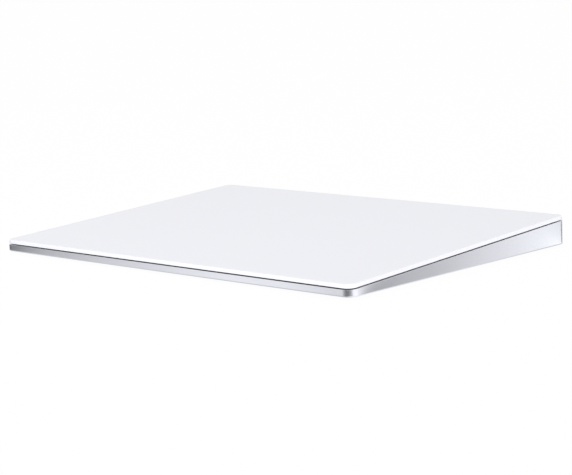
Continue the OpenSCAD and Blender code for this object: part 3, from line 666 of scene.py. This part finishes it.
for leg in range(COILS):
    middle_y = low.y + coil_wide / 2 + pitch * leg
    rings = []
    for step in range(last + 1):
        x = low.x + step * WIRE / WIRE_STEPS
        sinks = [sunk(step, i / len(outline)) for i in range(len(outline))]
        rings.append([(x, middle_y + y - ny * sink, middle_z + z - nz * sink)
                      for (y, z, ny, nz), sink in zip(outline, sinks)])
    for x in (high.x, low.x):
        rings.append([(x, middle_y + y, middle_z + z) for y, z, ny, nz in bore])
    fitted(skin(f"wound_coil_{leg}", rings, hollow=True), "actuator_coils", "base")
print(COILS, "coils of", turns, "turns each")

# %% [markdown]
# ## The battery's pouch
# The battery is a flat cell in a pouch of soft foil. The foil is welded along its two short ends, so the
# pouch thins there to a flat seam, and its top sinks a little towards the edges. A box with round edges
# would be as full at its ends as in the middle. Rings along its length, each with its own height, make
# the pouch in one skin.

# %% Battery pouch
SEAM, SEAM_LONG, SHOULDER, SHOULDER_STEPS = 0.4, 1.6, 2.4, 10
FULLNESS, TAPER, EDGE_ROUND, LEAST_SIDE, SAG = 1.2, 1.2, 1.1, 0.01, 0.14
BEHIND_SHOULDER = [8, 14, 22, 34]
low, high = box_mm("battery_pack")
half_long, wide, tall = (high.x - low.x) / 2, high.y - low.y, high.z - low.z
middle = (low + high) / 2

from_end = [0, SEAM_LONG / 2, SEAM_LONG]
from_end += [SEAM_LONG + SHOULDER * (i + 1) / SHOULDER_STEPS for i in range(SHOULDER_STEPS)]
from_end += BEHIND_SHOULDER
stations = [-half_long + s for s in from_end] + [0] + [half_long - s for s in reversed(from_end)]
rings = []
for x in stations:
    inner = min(max((half_long - abs(x) - SEAM_LONG) / SHOULDER, 0), 1)
    tall_here = SEAM + (tall - SEAM) * math.sin(math.pi / 2 * inner) ** FULLNESS
    wide_here = wide - TAPER * (1 - inner)
    edge = min(EDGE_ROUND, tall_here / 2 - LEAST_SIDE)
    ring = []
    for y, z, ny, nz in rounded_outline(wide_here, tall_here, edge, arc=10):
        sunken = SAG * max(z, 0) / (tall / 2) * (2 * y / wide) ** 4 * inner
        ring.append((x, middle.y + y, middle.z + z - sunken))
    rings.append(ring)
fitted(skin("battery_pouch", rings), "battery_pack", "base")
print("battery pouch", round(2 * half_long, 1), "x", round(wide, 1), "x", round(tall, 1), "mm")

# %% [markdown]
# ## The white floor
# The part stands on white, with next to no shadow. More light would bleach the part as well, so the floor
# is white only to the camera and in reflections, and plain matt paint for all other light. A small share
# of the paint stays in what the camera sees, so a faint shadow stays too.

# %% Floor
WHITE = (1, 1, 1, 1)
FLOOR_PAINT = (0.98, 0.98, 0.98, 1)
FLOOR_GLOW, FLOOR_REACH = 0.96, 8.0
SEEN_BY = ("Is Camera Ray", "Is Glossy Ray", "Is Transmission Ray")


def seen_rays(net):
    """1 for rays from the camera and for the ones that metal and glass send on, else 0."""
    path = net.add("ShaderNodeLightPath").socket.node
    seen = [Wire(net, path.outputs[name]) for name in SEEN_BY]
    return net.add("ShaderNodeClamp", None, {0: seen[0] + seen[1] + seen[2]})


f = Finish("white_floor")
matt = f.add("ShaderNodeBsdfDiffuse", None, {"Color": FLOOR_PAINT})
glow = f.add("ShaderNodeEmission", None, {"Color": WHITE, "Strength": 1.0})
bright = f.add("ShaderNodeMixShader", None, {0: FLOOR_GLOW, 1: matt, 2: glow})
floor_finish = f.surface(f.add("ShaderNodeMixShader", None, {0: seen_rays(f), 1: matt, 2: bright}))

square = [(sx * FLOOR_REACH, sy * FLOOR_REACH, 0) for sx, sy in ((-1, -1), (1, -1), (1, 1), (-1, 1))]
mesh = bpy.data.meshes.new("floor")
mesh.from_pydata(square, [], [(0, 1, 2, 3)])
floor = placed("floor", mesh)
floor.data.materials.append(floor_finish)
floor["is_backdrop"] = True
print("a white floor", 2 * FLOOR_REACH, "m wide")

# %% [markdown]
# ## The sky
# A studio for small goods is a tent of white cloth: soft light comes from all round, and the cloth itself
# shows white. A backdrop could be built for it, but the world can do both, with one strength for what the
# camera and reflections see and a weaker one for the light that it gives.

# %% Sky
SKY_LIGHT = 0.8
world = bpy.data.worlds.new("sky")
world.use_nodes = True
scene.world = world
net = Net(world.node_tree)
soft = net.add("ShaderNodeBackground", None, {"Color": WHITE, "Strength": SKY_LIGHT})
white = net.add("ShaderNodeBackground", None, {"Color": WHITE, "Strength": 1.0})
sky = net.add("ShaderNodeMixShader", None, {0: seen_rays(net), 1: soft, 2: white})
net.add("ShaderNodeOutputWorld", None, {"Surface": sky})
print("a white sky, which lights the part at", SKY_LIGHT)

# %% [markdown]
# ## Lamps
# A large soft lamp stands low at the camera's side and lights the near edges of the glass. A small weak
# one above the front lifts the top a little. Area lamps in the shape of a disk give the softest shade.
# They stay out of the metal's reflections, which the cards of the next step take care of.

# %% Lamps
def softbox(name, azimuth, elevation, distance, size, watts):
    """A round soft lamp that looks at the part from this side."""
    lamp = bpy.data.lights.new(name, "AREA")
    lamp.shape = "DISK"
    lamp.size = size
    lamp.energy = watts
    box = placed(name, lamp)
    a, e = math.radians(azimuth), math.radians(elevation)
    towards = Vector((math.sin(a) * math.cos(e), -math.cos(a) * math.cos(e), math.sin(e)))
    box.location = towards * distance
    box.rotation_mode = "QUATERNION"
    box.rotation_quaternion = towards.to_track_quat("Z", "Y")
    box.visible_glossy = False


softbox("key_lamp", azimuth=44, elevation=14, distance=2.0, size=0.9, watts=19.5)
softbox("front_lamp", azimuth=-20, elevation=58, distance=0.36, size=0.2, watts=0.115)
print("two soft lamps stand in front")

# %% [markdown]
# ## Cards for the metal to reflect
# Bare metal has hardly any colour of its own: it shows what stands round it. A photographer places grey
# and white cards beside such a part, so that each wall gets a slow change of tone and each corner a dark
# and a light line. Lamps of many sizes could do that too, but a card is easier to place. The cards here
# lie on the floor and fold up at their far end, and only reflections can see them.

# %% Card helper
HIDDEN_FROM = ("camera", "diffuse", "transmission", "volume_scatter", "shadow")
cards = []


def card(name, root, tip, height_mm, tone, lift_mm=0.2):
    """A folded card: flat from the root line to the tip line, then upright. tone(finish) gives its grey."""
    low = [(x * MM, y * MM, lift_mm * MM) for x, y in (*root, *reversed(tip))]
    high = [(x * MM, y * MM, height_mm * MM) for x, y in tip]
    mesh = bpy.data.meshes.new(name)
    mesh.from_pydata(low + high, [], [(0, 1, 2, 3), (3, 2, 5, 4)])
    sheet = placed(name, mesh)
    for ray in HIDDEN_FROM:
        setattr(sheet, "visible_" + ray, False)
    f = Finish(name)
    glow = f.add("ShaderNodeEmission", None, {"Color": tone(f), "Strength": 1.0})
    sheet.data.materials.append(f.surface(glow))
    sheet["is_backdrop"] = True
    cards.append(name)


print("a card is hidden from", len(HIDDEN_FROM), "kinds of ray, and reflections see it")

# %% [markdown]
# ## Tones on the cards
# A printed card has a slow run of grey. On a straight wall the run goes along an axis, and on a round
# corner it turns with the bearing. An image could hold it, but a colour ramp that is fed by the place on
# the card needs no file, and its stops are places on the part.

# %% Straight and turning tones
def along(axis, stops, shift_mm=0.0):
    """A tone that changes along an axis. A stop is a place on it, before the shift, and a grey."""
    start_mm, span_mm = stops[0][0] + shift_mm, stops[-1][0] - stops[0][0]
    ramp = [((at + shift_mm - start_mm) / span_mm, grey) for at, grey in stops]

    def tone(f):
        sockets = {0: f.place(), 1: axis}
        place = f.add("ShaderNodeVectorMath", {"operation": "DOT_PRODUCT"}, sockets, out="Value")
        share = (place - start_mm * MM) * (1 / (span_mm * MM))
        return f.add("ShaderNodeValToRGB", {"stops": ramp}, {0: share})
    return tone


def around(centre_mm, stops):
    """A tone that changes with the bearing from a corner: 0 is straight in front, 90 is to the right."""
    centre = (centre_mm[0] * MM, centre_mm[1] * MM, 0)
    ramp = [(at / 360 + 0.5, grey) for at, grey in stops]

    def tone(f):
        arm = f.add("ShaderNodeVectorMath", {"operation": "SUBTRACT"}, {0: f.place(), 1: centre})
        split = f.add("ShaderNodeSeparateXYZ", None, {0: arm}).socket.node
        x, y = (Wire(f, split.outputs[name]) for name in "XY")
        bearing = f.add("ShaderNodeMath", {"operation": "ARCTAN2"}, {0: x, 1: 0 - y})
        return f.add("ShaderNodeValToRGB", {"stops": ramp}, {0: bearing * (1 / math.tau) + 0.5})
    return tone


print("a tone can run along an axis or turn round a corner")

# %% [markdown]
# ## Cards beside the walls
# A wall mirrors the floor at a slant: what one place of the wall shows lies on the floor along a slanted
# line. The tones of the front and right cards therefore run along an axis that leans by a skew, and the
# shift puts the stops back on the wall. All places are millimetres in the frame's own X and Y.

# %% Wall cards
SIDE_GAP, END_GAP = 0.8, 0.75
SIDE, END = HALF_WIDE + SIDE_GAP, HALF_DEEP + END_GAP
FRONT_SKEW, RIGHT_SKEW = 1.04, 1.33
TALL, LOW = 120, 2

front_tone = along((1, -FRONT_SKEW, 0), (
    (-95, 0.12), (-80, 0.18), (-70, 0.41), (-63, 0.515), (-55, 0.59), (-30, 0.74), (0, 0.87), (30, 1.01),
    (55, 1.0), (68, 0.92), (76, 0.8)), shift_mm=FRONT_SKEW * HALF_DEEP)
right_tone = along((-RIGHT_SKEW, 1, 0), (
    (-56, 1.3), (-53.3, 0.85), (-51, 0.42), (-44, 0.42), (-36, 0.50), (-15, 0.62), (10, 0.84), (30, 0.98),
    (44, 1.12), (54, 1.3)), shift_mm=-RIGHT_SKEW * HALF_WIDE)
left_tone = along((0, 1, 0), ((-54, 0.42), (-25, 0.58), (5, 0.76), (35, 0.9), (56, 0.8)))
rear_tone = along((1, 0, 0), ((-78, 0.72), (-50, 0.94), (0, 0.84), (40, 0.72), (76, 0.6)))

card("front_card", [(-110, -END), (76, -END)], [(-400, -170), (-41, -170)], TALL, front_tone)
card("right_card", [(SIDE, -58), (SIDE, 57)], [(210, 114), (210, 200)], TALL, right_tone)
card("left_side_card", [(-SIDE, -56), (-SIDE, 56)], [(-210, -56), (-210, 56)], LOW, left_tone, lift_mm=0.15)
card("rear_side_card", [(78, END), (-78, END)], [(78, 190), (-78, 190)], LOW, rear_tone, lift_mm=0.15)
print("wall cards:", cards)

# %% [markdown]
# ## Cards round the corners
# A round corner sweeps through many bearings within a few millimetres, so it shows a whole fan of the
# floor as one narrow strip. Each corner gets a card whose tone turns with the bearing: dark where the
# photograph has its dark line, and light beside it.

# %% Corner cards
near_tone = around((77.5, -55.5), (
    (-40, 0.75), (-25, 0.50), (-5, 0.27), (8, 0.2), (35, 0.22), (52, 0.34), (68, 0.62), (84, 1.15)))
left_corner_tone = around((-77, -54.5), ((-140, 0.25), (-60, 0.16), (-40, 0.2)))
rear_corner_tone = around((77, 54.5), (
    (-180, 0.72), (-170, 0.66), (138, 1.2), (145, 1.24), (152, 0.3), (165, 0.1), (176, 0.7)))
far_corner_tone = around((-77.5, 55.5), (
    (-180, 0.32), (-165, 0.28), (-145, 0.3), (-128, 0.42), (-112, 0.68), (-98, 0.85), (150, 0.72),
    (165, 0.5), (180, 0.32)))

card("corner_card", [(75.5, -END), (79.5, -END)], [(-15, -190), (260, -190)], TALL, near_tone, lift_mm=0.19)
card("corner_wing", [(79.5, -END), (SIDE, -50)], [(260, -190), (300, 150)], TALL / 2, near_tone,
     lift_mm=0.1)
card("left_card", [(-79, -END), (-SIDE, -50)], [(-160, -150), (-200, 60)], LOW, left_corner_tone,
     lift_mm=0.18)
card("rear_card", [(SIDE, 57.6), (77, END)], [(206, 205), (28, 230)], LOW, rear_corner_tone, lift_mm=0.25)
card("far_card", [(-77, END), (-SIDE, 55)], [(-20, 200), (-230, 70)], LOW, far_corner_tone, lift_mm=0.25)
print("with the corners there are", len(cards), "cards")

# %% [markdown]
# ## Cards of painted shadow under the tray
# The lower round of the walls looks straight down, at the floor just beside the tray, where the tray's
# shadow falls as a soft grey. Two flat grey sheets lie there like a hem round the foot of the tray: a
# painted shadow that only reflections see.

# %% Foot cards of painted shadow
HEM, STRIP_EDGE = 1.3, 1.0
FOOT_LIFT, STRIP_LIFT = 0.3, 0.31
side, end = HALF_WIDE + HEM, HALF_DEEP + HEM
inner = HALF_WIDE - STRIP_EDGE

# Painted shadow: grey tones for the tray's own shadow on the floor, seen only in the walls' reflections.
contact_shadow_tone = along((1, 0, 0), ((-80, 0.74), (60, 0.66)))
contact_shadow_strip_tone = along((0, 1, 0), ((-57, 0.97), (0, 0.86), (50, 0.64)))
card("contact_shadow_card", [(-side, -end), (side, -end)], [(-side, end), (side, end)], FOOT_LIFT, contact_shadow_tone,
     lift_mm=FOOT_LIFT)
card("contact_shadow_strip", [(inner, -end), (side, -end)], [(inner, end), (side, end)], STRIP_LIFT, contact_shadow_strip_tone,
     lift_mm=STRIP_LIFT)
print("cards in all:", len(cards))

# %% [markdown]
# ## Measure and finish
# The dressed model has to stay inside the box of the solids, so both boxes are written down side by side.

# %% Sizes
dressed_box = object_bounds()
for title, box in (("CAD box", cad_box), ("dressed box", dressed_box)):
    print(title, [[round(v, 4) for v in corner] for corner in box])
